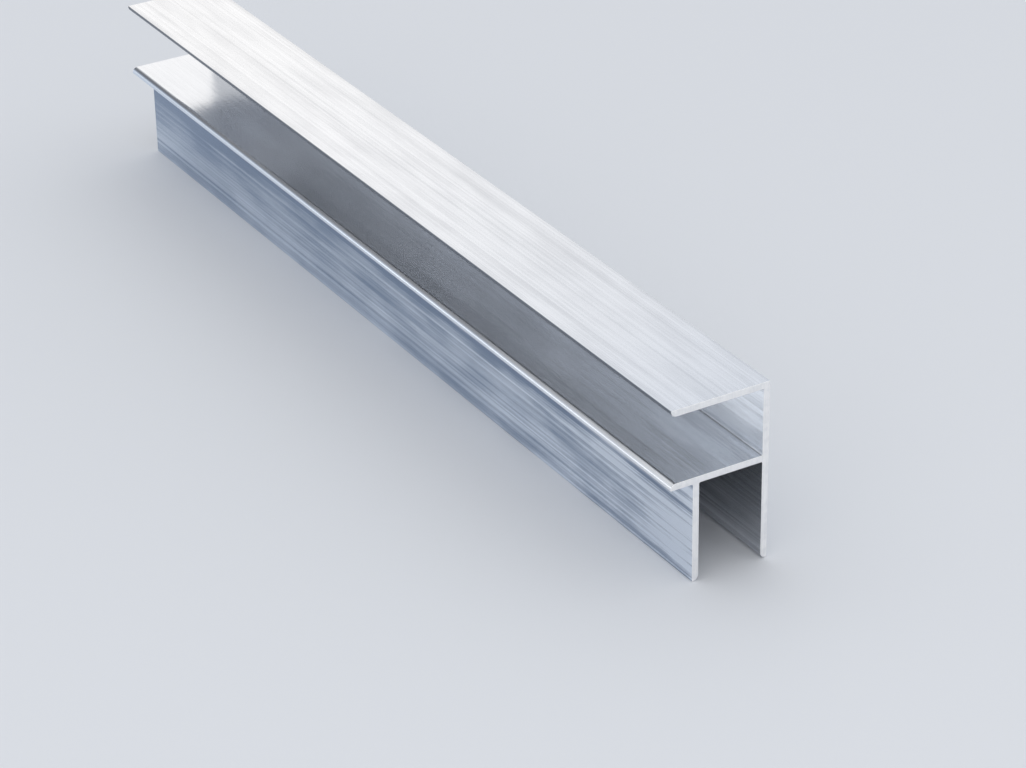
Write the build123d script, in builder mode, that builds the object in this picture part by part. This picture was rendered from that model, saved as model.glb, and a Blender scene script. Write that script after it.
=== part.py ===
from build123d import *
import os

# Aluminium edge profile, one extruded piece sawn square at both ends. Sizes are in mm.
# X runs along the length, the back web is at +Y and the piece stands on its two feet at Z = 0.
length = 240.0  # sawn piece, end to end
section_height = 40.0  # feet to top face
section_width = 23.0  # flange tips to back face
wall = 1.5  # every wall of the section
channel_clear = 14.8  # free width of each of the two channels
mouth_round = 0.85 * wall  # lead-in along the inner edges of both channel mouths
outer_break = 0.1 * wall  # outside edges of the section, as the die leaves them
root_fillet = 0.2 * wall  # inside corners
end_break = 0.07 * wall  # deburred edges of the two sawn ends

# Faces of the walls, front to back and bottom to top
tip_face = -section_width / 2
back_face = section_width / 2
web_face = back_face - wall
leg_face = web_face - channel_clear
leg_front = leg_face - wall
top_face = section_height
top_under = top_face - wall
middle_face = top_under - channel_clear
middle_under = middle_face - wall

# Edges that lead a panel into the upper and the lower channel
mouth_edges = [(tip_face, top_under), (tip_face, middle_face), (leg_face, 0), (web_face, 0)]
# Outside edges of the section
outer_edges = [
    (tip_face, top_face),
    (back_face, top_face),
    (tip_face, middle_under),
    (leg_front, 0),
    (back_face, 0),
]
# Corners where two walls meet
root_corners = [
    (web_face, top_under),
    (web_face, middle_face),
    (web_face, middle_under),
    (leg_face, middle_under),
    (leg_front, middle_under),
]


def at_corners(sketch, places):
    """Return the section's vertices that lie at the given (Y, Z) places."""
    return [sketch.vertices().sort_by_distance((y, z))[0] for y, z in places]


with BuildPart() as profile:
    with BuildSketch(Plane.YZ) as section:
        # Back web, the full height
        with Locations((back_face, 0)):
            Rectangle(wall, section_height, align=(Align.MAX, Align.MIN))
        # Top flange
        with Locations((tip_face, top_under)):
            Rectangle(section_width, wall, align=(Align.MIN, Align.MIN))
        # Middle flange, whose tip overhangs the front leg
        with Locations((tip_face, middle_under)):
            Rectangle(section_width, wall, align=(Align.MIN, Align.MIN))
        # Front leg
        with Locations((leg_face, 0)):
            Rectangle(wall, middle_face, align=(Align.MAX, Align.MIN))
        fillet(at_corners(section, mouth_edges), radius=mouth_round)
        fillet(at_corners(section, outer_edges), radius=outer_break)
        fillet(at_corners(section, root_corners), radius=root_fillet)
    extrude(amount=length / 2, both=True)
    # Deburred edges around both sawn ends
    sawn_ends = profile.faces().filter_by(Axis.X)
    chamfer(sawn_ends.edges(), length=end_break)

profile.part.label = "twin_channel_profile"
os.makedirs("parts", exist_ok=True)
export_step(profile.part, "parts/twin_channel_profile.step")
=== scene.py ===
import logging
import math
import random
from dataclasses import dataclass, field, replace
from enum import Enum
from statistics import fmean

import bmesh
import bpy
from mathutils import Matrix, Vector


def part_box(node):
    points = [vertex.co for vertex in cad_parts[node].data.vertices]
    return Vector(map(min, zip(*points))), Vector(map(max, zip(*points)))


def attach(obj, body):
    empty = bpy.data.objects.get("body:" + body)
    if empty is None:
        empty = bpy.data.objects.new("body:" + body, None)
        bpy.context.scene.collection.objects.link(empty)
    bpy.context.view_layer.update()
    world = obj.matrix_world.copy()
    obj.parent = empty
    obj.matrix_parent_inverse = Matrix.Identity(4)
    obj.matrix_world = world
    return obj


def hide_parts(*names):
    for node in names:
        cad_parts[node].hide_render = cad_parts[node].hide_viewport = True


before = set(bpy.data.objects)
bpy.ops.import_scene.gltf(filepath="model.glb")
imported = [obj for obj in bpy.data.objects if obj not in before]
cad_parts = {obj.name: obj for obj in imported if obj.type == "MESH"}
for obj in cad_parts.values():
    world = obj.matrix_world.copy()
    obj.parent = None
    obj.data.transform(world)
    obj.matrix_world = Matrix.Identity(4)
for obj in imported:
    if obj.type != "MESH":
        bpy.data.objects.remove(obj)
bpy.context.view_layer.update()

LOG = logging.getLogger("edge_profile")
NODE = "twin_channel_profile"
BODY = "root"
MM = 0.001
# Values that the mesh keeps at each point, the ending of their near-end twins, and the way round
FILM = "film"
MOTTLE = "mottle"
# How far each point takes the painted blue reflection of cool light
TINT = "tint"
FILM_VALUES = (FILM, MOTTLE, TINT)
NEAR = "_near"
AROUND = "around"
BAKE_MAP = "OFBake"
# Distance around the section, in metres, that the line noise has values for
OUTLINE_REACH = 0.25
# Places of the Mix node's colour sockets
MIX_FIRST = 6
MIX_SECOND = 7
MIX_RESULT = 2

Colour = tuple[float, float, float]
Point = tuple[float, float]
Socket = bpy.types.NodeSocket
Tree = bpy.types.NodeTree


class Corner(Enum):
    """How a corner of the section is rounded."""

    OUTER = "outer"
    MOUTH = "mouth"
    ROOT = "root"


class Face(Enum):
    """Long faces of the profile, by their fields in the film and shade plan."""

    BACK = "back"
    TOP = "top"
    TOP_TIP = "top_tip"
    CEILING = "ceiling"
    WEB = "web"
    SHELF = "shelf"
    SHELF_TIP = "shelf_tip"
    OVERHANG = "overhang"
    LEG = "leg"
    FOOT = "foot"
    LOWER_CHANNEL = "lower_channel"


class Surface(Enum):
    """Material slots of the profile's mesh, in their order."""

    EXTRUDED = 0
    SAWN = 1


class Axis(Enum):
    """Parts of a direction, by the names of their sockets."""

    X = "X"
    Y = "Y"
    Z = "Z"


def solid_colour(colour: Colour) -> tuple[float, float, float, float]:
    """Return the colour as an opaque RGBA value."""
    return (*colour, 1.0)


def new_material(name: str) -> tuple[bpy.types.Material, bpy.types.Node]:
    """Make a node material that holds only a Principled shader and its output.

    Args:
        name: Name of the new material.

    Returns:
        The material and its Principled node.
    """
    material = bpy.data.materials.new(name)
    material.use_nodes = True
    shader = next(n for n in material.node_tree.nodes if n.type == "BSDF_PRINCIPLED")
    return material, shader


def blend_colours(tree: Tree, mask: Socket, first: Colour | Socket, second: Colour | Socket) -> Socket:
    """Mix two colours by a mask.

    Args:
        tree: Node tree that gets the mix.
        mask: 0 gives the first colour and 1 the second.
        first: A colour or a socket that gives one.
        second: A colour or a socket that gives one.

    Returns:
        The mixed colour.
    """
    mix = tree.nodes.new("ShaderNodeMix")
    mix.data_type = "RGBA"
    tree.links.new(mask, mix.inputs["Factor"])
    for value, socket in ((first, mix.inputs[MIX_FIRST]), (second, mix.inputs[MIX_SECOND])):
        if isinstance(value, Socket):
            tree.links.new(value, socket)
        else:
            socket.default_value = solid_colour(value)
    return mix.outputs[MIX_RESULT]


def weighted_sum(tree: Tree, base: float, *terms: tuple[float, Socket]) -> Socket:
    """Add weighted masks to a base value.

    Args:
        tree: Node tree that gets the sum.
        base: Value where every mask is 0.
        terms: Pairs of a weight and a mask.

    Returns:
        The sum.
    """
    total = None
    for weight, mask in terms:
        node = tree.nodes.new("ShaderNodeMath")
        node.operation = "MULTIPLY_ADD"
        tree.links.new(mask, node.inputs[0])
        node.inputs[1].default_value = weight
        if total is None:
            node.inputs[2].default_value = base
        else:
            tree.links.new(total, node.inputs[2])
        total = node.outputs[0]
    return total


def product(tree: Tree, *masks: Socket) -> Socket:
    """Multiply masks and return their product, held between 0 and 1."""
    total = masks[0]
    for mask in masks[1:]:
        node = tree.nodes.new("ShaderNodeMath")
        node.operation = "MULTIPLY"
        node.use_clamp = True
        tree.links.new(total, node.inputs[0])
        tree.links.new(mask, node.inputs[1])
        total = node.outputs[0]
    return total


def mesh_value(tree: Tree, name: str) -> Socket:
    """Return the value that the mesh keeps under a name."""
    node = tree.nodes.new("ShaderNodeAttribute")
    node.attribute_name = name
    return node.outputs["Fac"]


def grain_group() -> Tree:
    """Build the shared node group that draws noise stretched along a chosen direction.

    Returns:
        A group with the inputs Place, Stretch, Detail, Low and High and the output Mask, which runs
        from 0 where the noise is at Low to 1 where it is at High.
    """
    group = bpy.data.node_groups.new("stretched_grain", "ShaderNodeTree")
    sockets = group.interface
    sockets.new_socket("Place", in_out="INPUT", socket_type="NodeSocketVector")
    sockets.new_socket("Stretch", in_out="INPUT", socket_type="NodeSocketVector")
    for name in ("Detail", "Low", "High"):
        sockets.new_socket(name, in_out="INPUT", socket_type="NodeSocketFloat")
    sockets.new_socket("Mask", in_out="OUTPUT", socket_type="NodeSocketFloat")
    nodes, links = group.nodes, group.links
    given = nodes.new("NodeGroupInput")
    result = nodes.new("NodeGroupOutput")
    scaled = nodes.new("ShaderNodeVectorMath")
    scaled.operation = "MULTIPLY"
    noise = nodes.new("ShaderNodeTexNoise")
    noise.inputs["Scale"].default_value = 1.0
    spread = nodes.new("ShaderNodeMapRange")
    spread.interpolation_type = "SMOOTHSTEP"
    links.new(given.outputs["Place"], scaled.inputs[0])
    links.new(given.outputs["Stretch"], scaled.inputs[1])
    links.new(scaled.outputs["Vector"], noise.inputs["Vector"])
    links.new(given.outputs["Detail"], noise.inputs["Detail"])
    links.new(noise.outputs["Fac"], spread.inputs["Value"])
    links.new(given.outputs["Low"], spread.inputs["From Min"])
    links.new(given.outputs["High"], spread.inputs["From Max"])
    links.new(spread.outputs["Result"], result.inputs["Mask"])
    return group


@dataclass(frozen=True)
class Grain:
    """One layer of stretched noise.

    Args:
        stretch: Repeats per metre along X, Y and Z.
        detail: Octaves of finer noise.
        low: Noise value at which the mask is 0.
        high: Noise value at which the mask is 1.
    """

    stretch: tuple[float, float, float]
    detail: float = 2.0
    low: float = 0.3
    high: float = 0.7

    def place(self, tree: Tree, group: Tree, at: Socket) -> Socket:
        """Put this layer into a material.

        Args:
            tree: Node tree of the material.
            group: The shared grain group.
            at: Coordinates that the layer follows.

        Returns:
            The layer's mask.
        """
        node = tree.nodes.new("ShaderNodeGroup")
        node.node_tree = group
        node.inputs["Stretch"].default_value = self.stretch
        node.inputs["Detail"].default_value = self.detail
        node.inputs["Low"].default_value = self.low
        node.inputs["High"].default_value = self.high
        tree.links.new(at, node.inputs["Place"])
        return node.outputs["Mask"]


@dataclass(frozen=True)
class ExtrudedFinish:
    """Mill finish as the die leaves it: bright metal under a streaked film, both along the length. Where
    the film lies thick it is partly painted shade, and its blue tint is a painted reflection of cool
    light.

    Args:
        bare: Clear metal without tint.
        blue_lit_metal: Clear metal with full tint, a painted reflection of cool light.
        grey_film_and_shade: Full film without tint, which is also the colour of the painted shade.
        blue_film_and_shade: Full film with full tint, the painted cool reflection over the film's painted
            shade.
        anisotropy: How far the die lines stretch reflections.
        across_lines: Turn of that stretch, where a quarter lays it across the lines.
        bare_roughness: Roughness of clear metal.
        film_roughness: Roughness that full film adds.
        film_scatter: Metallic share that full film takes away.
        streaks: Fine streaks of the film.
        bands: Broader streaks of the film.
        clouds: Patches of the film.
        streak_share: Weight of the streaks in the film's pattern.
        band_share: Weight of the bands in the film's pattern.
        cloud_share: Weight of the clouds in the film's pattern.
        pattern_mean: Mean of the pattern, taken off so that it goes both above and below.
        hair_lines: The finest lines, which are only relief.
        line_relief: Depth of the hair lines.
    """

    bare: Colour = (0.915, 0.918, 0.925)
    # The blue of the tint is a painted reflection of cool light, not the metal's own colour
    blue_lit_metal: Colour = (0.80, 0.88, 0.985)
    grey_film_and_shade: Colour = (0.12, 0.125, 0.14)
    blue_film_and_shade: Colour = (0.24, 0.32, 0.45)
    anisotropy: float = 0.9
    across_lines: float = 0.25
    bare_roughness: float = 0.15
    film_roughness: float = 0.12
    film_scatter: float = 0.3
    streaks: Grain = Grain((22.0, 2000.0, 2000.0), detail=2.0, low=0.3, high=0.7)
    bands: Grain = Grain((9.0, 480.0, 480.0), detail=2.0, low=0.3, high=0.7)
    clouds: Grain = Grain((48.0, 200.0, 200.0), detail=5.0, low=0.3, high=0.7)
    streak_share: float = 0.30
    band_share: float = 0.15
    cloud_share: float = 0.55
    pattern_mean: float = 0.5
    hair_lines: Grain = Grain((1.2, 2600.0, 2600.0), detail=2.0, low=0.3, high=0.7)
    line_relief: float = 0.003 * MM

    def material(self, grain: Tree) -> bpy.types.Material:
        """Build the material.

        Args:
            grain: The shared grain group.

        Returns:
            The finished material.
        """
        material, shader = new_material("mill_extruded")
        tree = material.node_tree
        strength, mottle, tint = (mesh_value(tree, name) for name in FILM_VALUES)
        film = self.film(tree, grain, strength, mottle)
        clear_colour = blend_colours(tree, tint, self.bare, self.blue_lit_metal)
        film_colour = blend_colours(tree, tint, self.grey_film_and_shade, self.blue_film_and_shade)
        colour = blend_colours(tree, film, clear_colour, film_colour)
        roughness = weighted_sum(tree, self.bare_roughness, (self.film_roughness, film))
        metallic = weighted_sum(tree, 1.0, (-self.film_scatter, film))
        tree.links.new(colour, shader.inputs["Base Color"])
        tree.links.new(roughness, shader.inputs["Roughness"])
        tree.links.new(metallic, shader.inputs["Metallic"])
        shader.inputs["Anisotropic"].default_value = self.anisotropy
        shader.inputs["Anisotropic Rotation"].default_value = self.across_lines
        along = tree.nodes.new("ShaderNodeCombineXYZ")
        along.inputs["X"].default_value = 1.0
        tree.links.new(along.outputs["Vector"], shader.inputs["Tangent"])
        place = tree.nodes.new("ShaderNodeTexCoord").outputs["Object"]
        relief = tree.nodes.new("ShaderNodeBump")
        relief.inputs["Distance"].default_value = self.line_relief
        tree.links.new(self.hair_lines.place(tree, grain, place), relief.inputs["Height"])
        tree.links.new(relief.outputs["Normal"], shader.inputs["Normal"])
        return material

    def film(self, tree: Tree, grain: Tree, strength: Socket, mottle: Socket) -> Socket:
        """Put the film into the material.

        Args:
            tree: Node tree of the material.
            grain: The shared grain group.
            strength: Mean film.
            mottle: How far the pattern takes the film above and below its mean.

        Returns:
            A mask that is 0 on clear metal and 1 under the thickest film.
        """
        place = tree.nodes.new("ShaderNodeTexCoord").outputs["Object"]
        layers = (
            (self.streak_share, self.streaks),
            (self.band_share, self.bands),
            (self.cloud_share, self.clouds),
        )
        masks = [(share, layer.place(tree, grain, place)) for share, layer in layers]
        pattern = weighted_sum(tree, -self.pattern_mean, *masks)
        node = tree.nodes.new("ShaderNodeMath")
        node.operation = "MULTIPLY_ADD"
        node.use_clamp = True
        tree.links.new(pattern, node.inputs[0])
        tree.links.new(mottle, node.inputs[1])
        tree.links.new(strength, node.inputs[2])
        return node.outputs[0]


@dataclass(frozen=True)
class SawnFinish:
    """Satin finish that a fine saw leaves on the two ends.

    Args:
        pale: Colour where neither lines nor patches show.
        grey: Colour that lines and patches lead to.
        metallic: Metallic share.
        base_roughness: Roughness between the patches.
        patch_roughness: Roughness that a patch adds.
        saw_lines: Marks of the saw's teeth.
        patches: Duller patches.
        line_share: How far a line takes the colour towards grey.
        patch_share: How far a patch takes the colour towards grey.
        line_relief: Depth of the lines.
    """

    pale: Colour = (0.96, 0.955, 0.955)
    grey: Colour = (0.80, 0.81, 0.83)
    metallic: float = 0.4
    base_roughness: float = 0.45
    patch_roughness: float = 0.15
    saw_lines: Grain = Grain((1.0, 2600.0, 160.0), detail=2.0, low=0.3, high=0.7)
    patches: Grain = Grain((1.0, 600.0, 600.0), detail=3.0, low=0.40, high=0.72)
    line_share: float = 0.35
    patch_share: float = 0.45
    line_relief: float = 0.01 * MM

    def material(self, grain: Tree) -> bpy.types.Material:
        """Build the material.

        Args:
            grain: The shared grain group.

        Returns:
            The finished material.
        """
        material, shader = new_material("sawn_end")
        tree = material.node_tree
        place = tree.nodes.new("ShaderNodeTexCoord").outputs["Object"]
        saw_lines, patches = (layer.place(tree, grain, place) for layer in (self.saw_lines, self.patches))
        tone = weighted_sum(tree, 0.0, (self.line_share, saw_lines), (self.patch_share, patches))
        tree.links.new(blend_colours(tree, tone, self.pale, self.grey), shader.inputs["Base Color"])
        roughness = weighted_sum(tree, self.base_roughness, (self.patch_roughness, patches))
        tree.links.new(roughness, shader.inputs["Roughness"])
        shader.inputs["Metallic"].default_value = self.metallic
        relief = tree.nodes.new("ShaderNodeBump")
        relief.inputs["Distance"].default_value = self.line_relief
        tree.links.new(saw_lines, relief.inputs["Height"])
        tree.links.new(relief.outputs["Normal"], shader.inputs["Normal"])
        return material


@dataclass
class LineNoise:
    """Smooth random values from 0 to 1 along the section's outline.

    Args:
        step: Distance between two drawn values.
        seed: Start of the random draws.
    """

    step: float
    seed: int
    drawn: list[float] = field(init=False)

    def __post_init__(self) -> None:
        """Draw more values than the outline needs."""
        dice = random.Random(self.seed)
        self.drawn = [dice.random() for _ in range(math.ceil(OUTLINE_REACH / self.step) + 2)]

    def at(self, place: float) -> float:
        """Return the value at a distance along the outline."""
        index, share = divmod(place / self.step, 1.0)
        share = share * share * (3.0 - 2.0 * share)
        first, second = self.drawn[int(index) : int(index) + 2]
        return first + (second - first) * share


@dataclass(frozen=True)
class DieLines:
    """Fine grooves and streaks along the length that the die leaves on every face.

    Args:
        spacing: Distance between the points of the relief around the section.
        relief: Layers of the relief, each with its greatest depth.
        tones: Layers of the streaks, each with its weight.
        tone_reach: How far the streaks go above and below the mean.
    """

    spacing: float = 0.1 * MM
    relief: tuple[tuple[LineNoise, float], ...] = (
        (LineNoise(5.0 * MM, 3), 0.008 * MM),
        (LineNoise(0.8 * MM, 4), 0.009 * MM),
        (LineNoise(0.3 * MM, 5), 0.003 * MM),
    )
    tones: tuple[tuple[LineNoise, float], ...] = (
        (LineNoise(2.4 * MM, 6), 0.25),
        (LineNoise(0.6 * MM, 7), 0.4),
        (LineNoise(0.22 * MM, 8), 0.35),
    )
    tone_reach: float = 0.55

    def depth(self, at: float) -> float:
        """Return the relief's depth below the plain face at a distance along the outline."""
        return sum(noise.at(at) * depth for noise, depth in self.relief)

    def tone(self, at: float) -> float:
        """Return how far the streaks are above or below their mean at a distance along the outline."""
        share = sum(noise.at(at) * weight for noise, weight in self.tones)
        return self.tone_reach * (2.0 * share - 1.0)


@dataclass(frozen=True)
class FaceFilmAndShade:
    """The film and painted shade on one place of the profile.

    Args:
        film: Mean strength, where 1 is full. The pattern may take it past 0 or 1, where it is held.
        mottle: How far streaks and clouds take the film above and below its mean.
        tint: 0 where film and clear metal are grey and 1 where both are blue. The blue is a painted
            reflection of cool light.
    """

    film: float
    mottle: float
    tint: float


Films = tuple[FaceFilmAndShade, FaceFilmAndShade]


@dataclass(frozen=True)
class LegLine:
    """A darker line along the front leg, made by adding film at its heights.

    Args:
        height: Height of its middle above the feet.
        width: Width of the line.
        film: Film that it adds.
    """

    height: float
    width: float
    film: float

    def covers(self, height: float) -> bool:
        """Say whether a height above the feet lies on the line."""
        return abs(height - self.height) < self.width / 2


@dataclass(frozen=True)
class FilmAndShadePlan:
    """The film and painted shade on each long face, as a pair of the plain film and the one at the near
    end. The streaks and clouds are the metal's own, but how thick the film lies on each face stands in for
    how light falls there: painted shade where it is thick and painted light where it is thin.

    Args:
        leg_foot: Share of the front leg's film that is left at its foot.
        fade: Places from the far end, as shares of the length, and the share of the near end's film at
            each. Below 0 the film goes from the plain one away from the near end's. The thinner film
            towards the near end is painted light, and the heavier film at the far end is painted shade.
        round_shade: Plain and near painted shade, as film that is added on the upper part of the round at
            the middle flange's tip to darken what the round mirrors.
        round_reach: Depth below the flange's upper face at which that film ends.
        root_shade: Plain and near painted shade, as film that is added in the root between the middle
            flange and the back web to dim its highlight.
        root_reach: Height of that root above the flange's upper face.
        shade_depth: Distance from the flange's upper face at which both of these start.
        soften: Distance over which one face's film runs into the next one's.
        leg_lines: Darker lines along the front leg. The one just below the middle flange's overhang is
            painted shadow.
    """

    back: Films = (FaceFilmAndShade(0.28, 0.5, 0.4), FaceFilmAndShade(0.24, 0.5, 0.4))
    top: Films = (FaceFilmAndShade(0.085, 0.21, 0.04), FaceFilmAndShade(0.06, 0.24, 0.3))
    # Painted shade: full film turns the top flange's tip face into a dark line
    top_tip: Films = (FaceFilmAndShade(1.0, 0.1, 0.2), FaceFilmAndShade(1.0, 0.1, 0.2))
    # Painted shade under the top flange, which darkens what the middle flange mirrors; none at the near
    # end
    ceiling: Films = (FaceFilmAndShade(0.55, 0.24, 0.25), FaceFilmAndShade(0.0, 0.16, 0.25))
    web: Films = (FaceFilmAndShade(0.13, 0.24, 0.25), FaceFilmAndShade(0.08, 0.5, 0.5))
    shelf: Films = (FaceFilmAndShade(0.06, 0.16, 0.1), FaceFilmAndShade(0.04, 0.5, 0.1))
    shelf_tip: Films = (FaceFilmAndShade(0.05, 0.16, 0.8), FaceFilmAndShade(0.0, 0.16, 0.3))
    # Painted shade on the middle flange's underside
    overhang: Films = (FaceFilmAndShade(0.6, 0.3, 0.4), FaceFilmAndShade(0.6, 0.3, 0.4))
    # The front leg's streaks are its own, but its heavy dark film away from the near end is painted shade
    # and its blue a painted cool reflection
    leg: Films = (FaceFilmAndShade(1.15, 0.65, 0.88), FaceFilmAndShade(0.12, 1.6, 0.75))
    foot: Films = (FaceFilmAndShade(0.32, 0.32, 0.5), FaceFilmAndShade(0.24, 0.32, 0.5))
    lower_channel: Films = (FaceFilmAndShade(0.4, 0.5, 0.3), FaceFilmAndShade(0.32, 0.5, 0.3))
    leg_foot: float = 0.2
    fade: tuple[tuple[float, float], ...] = (
        (0.0, -0.3),
        (0.3, -0.06),
        (0.5, 0.08),
        (0.7, 0.26),
        (0.85, 0.54),
        (1.0, 1.0),
    )
    round_shade: tuple[float, float] = (0.7, 0.25)
    round_reach: float = 0.5 * MM
    root_shade: tuple[float, float] = (0.5, 0.4)
    root_reach: float = 0.35 * MM
    shade_depth: float = 0.06 * MM
    soften: float = 0.3 * MM
    leg_lines: tuple[LegLine, ...] = (
        LegLine(1.5 * MM, 2.0 * MM, 0.3),
        LegLine(3.4 * MM, 0.5 * MM, 0.4),
        # Painted shadow just below the middle flange's overhang
        LegLine(15.9 * MM, 0.7 * MM, 0.35),
    )

    def at(self, face: Face, height: float, leg_height: float, shelf_height: float) -> Films:
        """Work out the films at a point of the section.

        Args:
            face: The long face that the point is on.
            height: Height of the point above the feet.
            leg_height: Height of the front leg.
            shelf_height: Height of the middle flange's upper face.

        Returns:
            The plain film there, and the one at the near end.
        """
        share, extra = 1.0, (0.0, 0.0)
        rise = height - shelf_height
        if face is Face.LEG:
            share = self.leg_foot + (1.0 - self.leg_foot) * height / leg_height
            # Darker lines along the leg, one of them painted shadow under the overhang
            lines = sum(line.film for line in self.leg_lines if line.covers(height))
            extra = (lines, lines)
        # Painted shade on the upper part of the round at the middle flange's tip
        elif face in (Face.SHELF, Face.SHELF_TIP) and -self.round_reach < rise < -self.shade_depth:
            extra = self.round_shade
        # Painted shade that dims the highlight in the root between the middle flange and the back web
        elif face in (Face.SHELF, Face.WEB) and self.shade_depth < rise < self.root_reach:
            extra = self.root_shade
        films = zip(getattr(self, face.value), extra, strict=True)
        plain, near = (replace(given, film=given.film * share + more) for given, more in films)
        return plain, near


def distance_to_side(point: Point, start: Point, end: Point) -> float:
    """Return how far a point of the section is from the straight side between two corners."""
    side = Vector(end) - Vector(start)
    reach = Vector(point) - Vector(start)
    share = min(1.0, max(0.0, reach.dot(side) / side.length_squared))
    return (reach - side * share).length


@dataclass
class EdgeProfile:
    """The extruded length: a back web, two flanges and a front leg around two channels.

    Args:
        low: Lowest corner of the profile's box.
        high: Highest corner of the profile's box.
        wall: Thickness of every wall.
        channel_clear: Free width of both channels.
        mouth_round: Radius of the edges at the channels' mouths.
        mouth_segments: Facets of such an edge.
        outer_break: Radius of the outside edges.
        outer_segments: Facets of such an edge.
        root_fillet: Radius of the inside corners.
        root_segments: Facets of such a corner.
        end_break: Width of the broken edges around the sawn ends.
        saw_wobble: How far those edges wander at most.
        saw_waves: Number of waves that make up the wandering.
        saw_turns: Least and most radians per metre of a wave around the section.
        saw_seed: Start of the waves' random draws.
        sharp_angle: Angle in degrees past which an edge is shaded sharp.
        map_column: Width of each of the bake map's two columns.
        map_gap: Gap between the bake map's islands.
        map_end_width: Width of a sawn end on the bake map.
        die_lines: Relief and streaks that the die leaves.
        film: Film and painted shade on the long faces.
        piece: The object, once it is built.
    """

    low: Vector
    high: Vector
    wall: float = 1.5 * MM
    channel_clear: float = 14.8 * MM
    mouth_round: float = 1.275 * MM
    mouth_segments: int = 14
    outer_break: float = 0.15 * MM
    outer_segments: int = 5
    root_fillet: float = 0.3 * MM
    root_segments: int = 6
    end_break: float = 0.105 * MM
    saw_wobble: float = 0.08 * MM
    saw_waves: int = 9
    saw_turns: tuple[float, float] = (400.0, 4000.0)
    saw_seed: int = 11
    sharp_angle: float = 28.0
    map_column: float = 0.36
    map_gap: float = 0.01
    map_end_width: float = 0.24
    die_lines: DieLines = field(default_factory=DieLines)
    film: FilmAndShadePlan = field(default_factory=FilmAndShadePlan)
    piece: bpy.types.Object | None = None

    @property
    def web_face(self) -> float:
        """Return the Y of the back web's inner face."""
        return self.high.y - self.wall

    @property
    def leg_face(self) -> float:
        """Return the Y of the front leg's inner face."""
        return self.web_face - self.channel_clear

    @property
    def top_under(self) -> float:
        """Return the Z of the top flange's lower face."""
        return self.high.z - self.wall

    @property
    def shelf_face(self) -> float:
        """Return the Z of the middle flange's upper face."""
        return self.top_under - self.channel_clear

    def section(self) -> list[tuple[Point, Corner, Face]]:
        """Return the section's corners in order.

        Returns:
            The (Y, Z) place of each corner, its kind, and the face on the side that follows it.
        """
        tip, back = self.low.y, self.high.y
        floor, top = self.low.z, self.high.z
        web, leg = self.web_face, self.leg_face
        leg_front = leg - self.wall
        top_under, shelf = self.top_under, self.shelf_face
        shelf_under = shelf - self.wall
        return [
            ((back, floor), Corner.OUTER, Face.BACK),
            ((back, top), Corner.OUTER, Face.TOP),
            ((tip, top), Corner.OUTER, Face.TOP_TIP),
            ((tip, top_under), Corner.MOUTH, Face.CEILING),
            ((web, top_under), Corner.ROOT, Face.WEB),
            ((web, shelf), Corner.ROOT, Face.SHELF),
            ((tip, shelf), Corner.MOUTH, Face.SHELF_TIP),
            ((tip, shelf_under), Corner.OUTER, Face.OVERHANG),
            ((leg_front, shelf_under), Corner.ROOT, Face.LEG),
            ((leg_front, floor), Corner.OUTER, Face.FOOT),
            ((leg, floor), Corner.MOUTH, Face.LOWER_CHANNEL),
            ((leg, shelf_under), Corner.ROOT, Face.LOWER_CHANNEL),
            ((web, shelf_under), Corner.ROOT, Face.LOWER_CHANNEL),
            ((web, floor), Corner.MOUTH, Face.FOOT),
        ]

    def build(self) -> bpy.types.Object:
        """Model the profile and put it in the scene.

        Returns:
            The new object.
        """
        bm = bmesh.new()
        near_values = [name + NEAR for name in FILM_VALUES]
        for name in (AROUND, *FILM_VALUES, *near_values):
            bm.verts.layers.float.new(name)
        self.draw_section(bm)
        self.divide_outline(bm)
        self.score_outline(bm)
        self.pull_length(bm)
        self.saw_ends(bm)
        self.unroll(bm)
        for name in (AROUND, *near_values):
            bm.verts.layers.float.remove(bm.verts.layers.float[name])
        mesh = bpy.data.meshes.new("extruded_profile")
        bm.to_mesh(mesh)
        bm.free()
        mesh.set_sharp_from_angle(angle=math.radians(self.sharp_angle))
        self.piece = bpy.data.objects.new("extruded_profile", mesh)
        bpy.context.scene.collection.objects.link(self.piece)
        return self.piece

    def draw_section(self, bm: bmesh.types.BMesh) -> None:
        """Draw the section as one face at the far end and round its corners."""
        corners = self.section()
        start = self.low.x + self.end_break
        verts = [bm.verts.new((start, y, z)) for (y, z), _, _ in corners]
        bm.faces.new(verts)
        for kind, radius, segments in (
            (Corner.MOUTH, self.mouth_round, self.mouth_segments),
            (Corner.OUTER, self.outer_break, self.outer_segments),
            (Corner.ROOT, self.root_fillet, self.root_segments),
        ):
            bmesh.ops.bevel(
                bm,
                geom=[v for v, (_, k, _) in zip(verts, corners, strict=True) if k is kind],
                offset=radius,
                offset_type="OFFSET",
                segments=segments,
                profile=0.5,
                affect="VERTICES",
                clamp_overlap=False,
                material=-1,
            )

    def divide_outline(self, bm: bmesh.types.BMesh) -> None:
        """Divide the section's straight sides finely enough for the die lines."""
        for edge in bm.edges[:]:
            cuts = round(edge.calc_length() / self.die_lines.spacing) - 1
            if cuts > 0:
                bmesh.ops.subdivide_edges(bm, edges=[edge], cuts=cuts)

    def outline(self, bm: bmesh.types.BMesh) -> list[bmesh.types.BMLoop]:
        """Return the section's loops in order, from the back foot's outer corner on."""
        loops = next(iter(bm.faces)).loops[:]
        corner = Vector((self.high.y, self.low.z))
        first = min(range(len(loops)), key=lambda i: (loops[i].vert.co.yz - corner).length)
        return loops[first:] + loops[:first]

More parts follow.
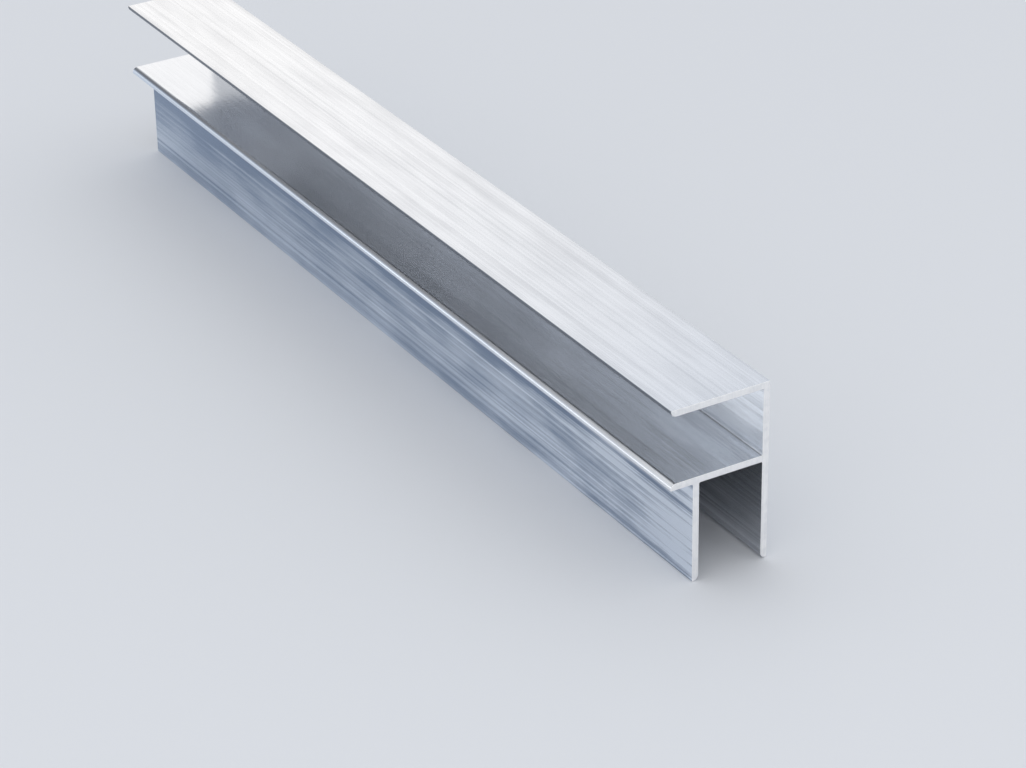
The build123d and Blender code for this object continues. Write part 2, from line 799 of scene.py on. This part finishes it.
    def score_outline(self, bm: bmesh.types.BMesh) -> None:
        """Sink the section's points into die lines, and note the film and the way round at each."""
        loops = self.outline(bm)
        across = loops[0].face.normal.copy()
        sides = [loop.link_loop_next.vert.co - loop.vert.co for loop in loops]
        layers = bm.verts.layers.float
        films = [self.film_at(loop.vert.co.yz) for loop in loops]
        spread = round(self.film.soften / self.die_lines.spacing / 2)
        at = 0.0
        shifts = []
        for i, loop in enumerate(loops):
            along = (sides[i - 1].normalized() + sides[i].normalized()).normalized()
            shifts.append(across.cross(along) * self.die_lines.depth(at))
            close = [films[(i + k) % len(loops)] for k in range(-spread, spread + 1)]
            for end, ending in enumerate(("", NEAR)):
                for name in FILM_VALUES:
                    loop.vert[layers[name + ending]] = fmean(getattr(pair[end], name) for pair in close)
                streak = loop.vert[layers[MOTTLE + ending]] * self.die_lines.tone(at)
                loop.vert[layers[FILM + ending]] += streak
            loop.vert[layers[AROUND]] = at
            at += sides[i].length
        for loop, shift in zip(loops, shifts, strict=True):
            loop.vert.co += shift

    def film_at(self, point: Point) -> Films:
        """Return the films at a point of the section."""
        corners = self.section()
        ends = corners[1:] + corners[:1]
        gaps = [distance_to_side(point, c[0], e[0]) for c, e in zip(corners, ends, strict=True)]
        face = corners[gaps.index(min(gaps))][2]
        shelf_height = self.shelf_face - self.low.z
        return self.film.at(face, point[1] - self.low.z, shelf_height - self.wall, shelf_height)

    def pull_length(self, bm: bmesh.types.BMesh) -> None:
        """Pull the section to the near end, and fade each face's film along the length, which paints light
        towards the open near end.
        """
        made = bmesh.ops.extrude_face_region(bm, geom=bm.faces[:])["geom"]
        moved = [v for v in made if isinstance(v, bmesh.types.BMVert)]
        reach = self.high.x - self.low.x - 2 * self.end_break
        bmesh.ops.translate(bm, verts=moved, vec=(reach, 0.0, 0.0))
        bmesh.ops.recalc_face_normals(bm, faces=bm.faces[:])
        start = self.low.x + self.end_break
        stations = [(start + place * reach, share) for place, share in self.film.fade]
        for x, _ in stations[1:-1]:
            whole = bm.verts[:] + bm.edges[:] + bm.faces[:]
            bmesh.ops.bisect_plane(bm, geom=whole, plane_co=(x, 0.0, 0.0), plane_no=(1.0, 0.0, 0.0))
        layers = bm.verts.layers.float
        for vert in bm.verts:
            share = min(stations, key=lambda s: abs(s[0] - vert.co.x))[1]
            for name in FILM_VALUES:
                vert[layers[name]] += (vert[layers[name + NEAR]] - vert[layers[name]]) * share

    def saw_ends(self, bm: bmesh.types.BMesh) -> None:
        """Break the edges of both sawn ends, with a width that wanders a little."""
        for f in bm.faces:
            f.smooth = True
            f.material_index = Surface.EXTRUDED.value
        # Only the two ends have more than four corners
        caps = [f for f in bm.faces if len(f.verts) > 4]
        breaks = bmesh.ops.inset_individual(
            bm, faces=caps, thickness=self.end_break, depth=self.end_break, use_even_offset=True
        )["faces"]
        for f in caps + breaks:
            f.material_index = Surface.SAWN.value
        around_layer = bm.verts.layers.float[AROUND]
        dice = random.Random(self.saw_seed)
        for cap in caps:
            waves = [
                (dice.uniform(*self.saw_turns), dice.uniform(0.0, math.tau)) for _ in range(self.saw_waves)
            ]
            for vert in cap.verts:
                linked = (edge.other_vert(vert) for edge in vert.link_edges)
                rim = next(other for other in linked if other not in cap.verts)
                inward = vert.co - rim.co
                inward.x = 0.0
                swing = sum(math.sin(vert[around_layer] * turn + start) for turn, start in waves)
                vert.co += inward.normalized() * self.saw_wobble * abs(swing / len(waves))

    def unroll(self, bm: bmesh.types.BMesh) -> None:
        """Lay the long faces out in two columns, and the ends beside them, as one bake map."""
        uv_layer = bm.loops.layers.uv.new(BAKE_MAP)
        around_layer = bm.verts.layers.float[AROUND]
        whole = max(v[around_layer] for v in bm.verts)
        corner = Vector((self.web_face, self.shelf_face))
        fold = min(bm.verts, key=lambda v: (v.co.yz - corner).length)[around_layer]
        length = self.high.x - self.low.x
        rise = (1.0 - 2 * self.map_gap) / max(fold, whole - fold)
        for f in bm.faces:
            if f.material_index == Surface.SAWN.value:
                self.unroll_end(f, uv_layer)
                continue
            places = [loop.vert[around_layer] for loop in f.loops]
            # The face that closes the outline runs from its end back to 0
            if max(places) - min(places) > whole / 2:
                places = [p if p > 0.0 else whole for p in places]
            second = sum(places) / len(places) > fold
            left = self.map_gap + second * (self.map_column + self.map_gap)
            for loop, place in zip(f.loops, places, strict=True):
                u = left + self.map_column * (loop.vert.co.x - self.low.x) / length
                v = self.map_gap + (place - second * fold) * rise
                loop[uv_layer].uv = (u, v)

    def unroll_end(self, face: bmesh.types.BMFace, uv_layer: bmesh.types.BMLayerItem) -> None:
        """Lay a face of a sawn end out beside the columns."""
        scale = self.map_end_width / (self.high.y - self.low.y)
        left = 2 * self.map_column + 3 * self.map_gap
        near = face.calc_center_median().x > 0.0
        foot = self.map_gap + near * ((self.high.z - self.low.z) * scale + self.map_gap)
        for loop in face.loops:
            y, z = loop.vert.co.y - self.low.y, loop.vert.co.z - self.low.z
            loop[uv_layer].uv = (left + y * scale, foot + z * scale)

    def dress(self, grain: Tree) -> None:
        """Give the profile its finishes and put it in the CAD node's place.

        Args:
            grain: The shared grain group.
        """
        finishes = {Surface.EXTRUDED: ExtrudedFinish(), Surface.SAWN: SawnFinish()}
        for surface in Surface:
            self.piece.data.materials.append(finishes[surface].material(grain))
        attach(self.piece, BODY)
        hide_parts(NODE)


@dataclass(frozen=True)
class SoftBox:
    """A rectangular studio lamp that points at the profile.

    Args:
        name: Name of the lamp.
        place: Where it stands.
        size: Width and height.
        radiance: Brightness of its face, where 1 is white.
    """

    name: str
    place: tuple[float, float, float]
    size: tuple[float, float]
    radiance: float

    def build(self) -> bpy.types.Object:
        """Put the lamp in the scene and return it."""
        lamp = bpy.data.lights.new(self.name, "AREA")
        lamp.shape = "RECTANGLE"
        lamp.size, lamp.size_y = self.size
        lamp.energy = self.radiance * math.pi * self.size[0] * self.size[1]
        stand = bpy.data.objects.new(self.name, lamp)
        stand.location = self.place
        stand.rotation_euler = (-Vector(self.place)).to_track_quat("-Z", "Y").to_euler()
        bpy.context.scene.collection.objects.link(stand)
        return stand


@dataclass(frozen=True)
class Ramp:
    """A soft step of the dome along one axis.

    Args:
        axis: Part of the direction that the step follows.
        start: Where the step is 0.
        end: Where the step is 1.
    """

    axis: Axis
    start: float
    end: float

    def mask(self, tree: Tree, direction: bpy.types.Node) -> Socket:
        """Put the step into the dome.

        Args:
            tree: Node tree of the dome.
            direction: Node that gives the parts of the direction.

        Returns:
            The step's mask.
        """
        node = tree.nodes.new("ShaderNodeMapRange")
        node.interpolation_type = "SMOOTHSTEP"
        node.inputs["From Min"].default_value = self.start
        node.inputs["From Max"].default_value = self.end
        tree.links.new(direction.outputs[self.axis.value], node.inputs["Value"])
        return node.outputs["Result"]


@dataclass(frozen=True)
class DomePanel:
    """A part of the dome with soft edges.

    Args:
        colour: Colour of the panel.
        edges: Steps that bound it.
    """

    colour: Colour
    edges: tuple[Ramp, ...]

    def paint(self, tree: Tree, direction: bpy.types.Node, under: Colour | Socket) -> Socket:
        """Lay the panel over the dome.

        Args:
            tree: Node tree of the dome.
            direction: Node that gives the parts of the direction.
            under: What the panel covers.

        Returns:
            The dome's colour with the panel.
        """
        mask = product(tree, *(edge.mask(tree, direction) for edge in self.edges))
        return blend_colours(tree, mask, under, self.colour)


@dataclass
class Studio:
    """A plain pale floor, a soft dome and soft boxes.

    Args:
        floor_tone: Colour of the floor.
        floor_roughness: Roughness of the floor.
        floor_gloss: Strength of the floor's reflections.
        floor_reach: Half the floor's width.
        horizon: The dome's colour near the floor.
        panels: Parts of the dome with another colour, each laid over the ones before it.
        soft_boxes: The lamps.
    """

    floor_tone: Colour = (0.775, 0.785, 0.81)
    floor_roughness: float = 0.9
    floor_gloss: float = 0.1
    floor_reach: float = 40.0
    horizon: Colour = (0.93, 0.93, 0.94)
    panels: tuple[DomePanel, ...] = (
        # Higher up
        DomePanel((0.635, 0.67, 0.735), (Ramp(Axis.Z, 0.10, 0.36),)),
        # Straight above
        DomePanel((0.98, 1.01, 1.04), (Ramp(Axis.Z, 0.56, 0.74),)),
        # Dark behind the key lamp, so that faces that mirror both don't clip
        DomePanel(
            (0.29, 0.30, 0.32),
            (Ramp(Axis.X, -0.05, 0.16), Ramp(Axis.Y, 0.30, 0.06), Ramp(Axis.Z, 0.84, 0.74)),
        ),
        # Greyer beyond the far end
        DomePanel(
            (0.76, 0.765, 0.78),
            (Ramp(Axis.X, -0.715, -0.77), Ramp(Axis.Y, 0.32, 0.05), Ramp(Axis.Z, 0.18, 0.42)),
        ),
        # Bright beyond the far end, towards the front
        DomePanel(
            (1.04, 1.05, 1.07),
            (
                Ramp(Axis.X, -0.79, -0.70),
                Ramp(Axis.X, -0.54, -0.62),
                Ramp(Axis.Y, -0.12, -0.26),
                Ramp(Axis.Y, -0.65, -0.56),
                Ramp(Axis.Z, 0.14, 0.30),
            ),
        ),
        # Bright beyond the far end, towards the back, where the camera sees the top face mirror it
        DomePanel((1.16, 1.145, 1.135), (Ramp(Axis.X, -0.64, -0.88), Ramp(Axis.Y, 0.12, 0.40))),
    )
    soft_boxes: tuple[SoftBox, ...] = (
        SoftBox("key_box", (1.25, -0.95, 0.78), (3.0, 1.5), 0.74),
        SoftBox("rim_box", (-0.76, -0.83, 0.06), (0.45, 0.12), 0.7),
    )

    def build(self) -> None:
        """Put the floor, the dome and the lamps in the scene."""
        self.build_floor()
        self.build_dome()
        for box in self.soft_boxes:
            box.build()

    def build_floor(self) -> None:
        """Make the floor, which isn't part of the object."""
        bm = bmesh.new()
        bmesh.ops.create_grid(bm, x_segments=1, y_segments=1, size=self.floor_reach)
        mesh = bpy.data.meshes.new("studio_floor")
        bm.to_mesh(mesh)
        bm.free()
        floor = bpy.data.objects.new("studio_floor", mesh)
        bpy.context.scene.collection.objects.link(floor)
        material, shader = new_material("pale_floor")
        shader.inputs["Base Color"].default_value = solid_colour(self.floor_tone)
        shader.inputs["Roughness"].default_value = self.floor_roughness
        shader.inputs["Specular IOR Level"].default_value = self.floor_gloss
        mesh.materials.append(material)

    def build_dome(self) -> None:
        """Light the scene from all round, with darker and brighter panels."""
        world = bpy.data.worlds.new("studio_dome")
        world.use_nodes = True
        bpy.context.scene.world = world
        tree = world.node_tree
        sky = next(n for n in tree.nodes if n.type == "BACKGROUND")
        direction = tree.nodes.new("ShaderNodeSeparateXYZ")
        tree.links.new(tree.nodes.new("ShaderNodeTexCoord").outputs["Generated"], direction.inputs[0])
        colour = self.horizon
        for panel in self.panels:
            colour = panel.paint(tree, direction, colour)
        tree.links.new(colour, sky.inputs["Color"])


@dataclass(frozen=True)
class PhotoCamera:
    """The camera at the photograph's place.

    Args:
        place: Where the lens is.
        azimuth: Turn about the vertical, in degrees, where 0 looks along +Y and 90 along -X.
        elevation: How far the camera is above the horizon, in degrees.
        roll: Turn about the line of sight, in degrees.
        lens: Focal length in millimetres.
        sensor: Width of the sensor in millimetres.
        clip: Nearest and farthest distance that the camera sees.
    """

    place: tuple[float, float, float] = (0.59955, -0.32974, 0.36159)
    azimuth: float = 59.427
    elevation: float = 28.724
    roll: float = -0.993
    lens: float = 121.235
    sensor: float = 36.0
    clip: tuple[float, float] = (0.01, 50.0)

    def build(self) -> bpy.types.Object:
        """Put the camera in the scene and return it."""
        data = bpy.data.cameras.new("photo_camera")
        data.sensor_fit = "HORIZONTAL"
        data.sensor_width = self.sensor
        data.lens = self.lens
        data.clip_start, data.clip_end = self.clip
        camera = bpy.data.objects.new("photo_camera", data)
        turn, rise = math.radians(self.azimuth), math.radians(self.elevation)
        level_share = math.cos(rise)
        ahead = Vector((-math.sin(turn) * level_share, math.cos(turn) * level_share, -math.sin(rise)))
        level = ahead.cross(Vector((0.0, 0.0, 1.0))).normalized()
        right = Matrix.Rotation(-math.radians(self.roll), 3, ahead) @ level
        up = right.cross(ahead)
        facing = Matrix((right, up, -ahead)).transposed().to_4x4()
        camera.matrix_world = Matrix.Translation(self.place) @ facing
        bpy.context.scene.collection.objects.link(camera)
        bpy.context.scene.camera = camera
        return camera


def main() -> None:
    """Build the profile, the studio and the camera, and report each piece."""
    logging.basicConfig(level=logging.INFO, format="%(name)s: %(message)s")
    bpy.context.scene.view_settings.view_transform = "Standard"
    grain = grain_group()
    profile = EdgeProfile(*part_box(NODE))
    piece = profile.build()
    profile.dress(grain)
    LOG.info("%s: %d faces", piece.name, len(piece.data.polygons))
    Studio().build()
    camera = PhotoCamera().build()
    LOG.info("%s at %s", camera.name, [round(v, 3) for v in camera.location])


if __name__ == "__main__":
    main()
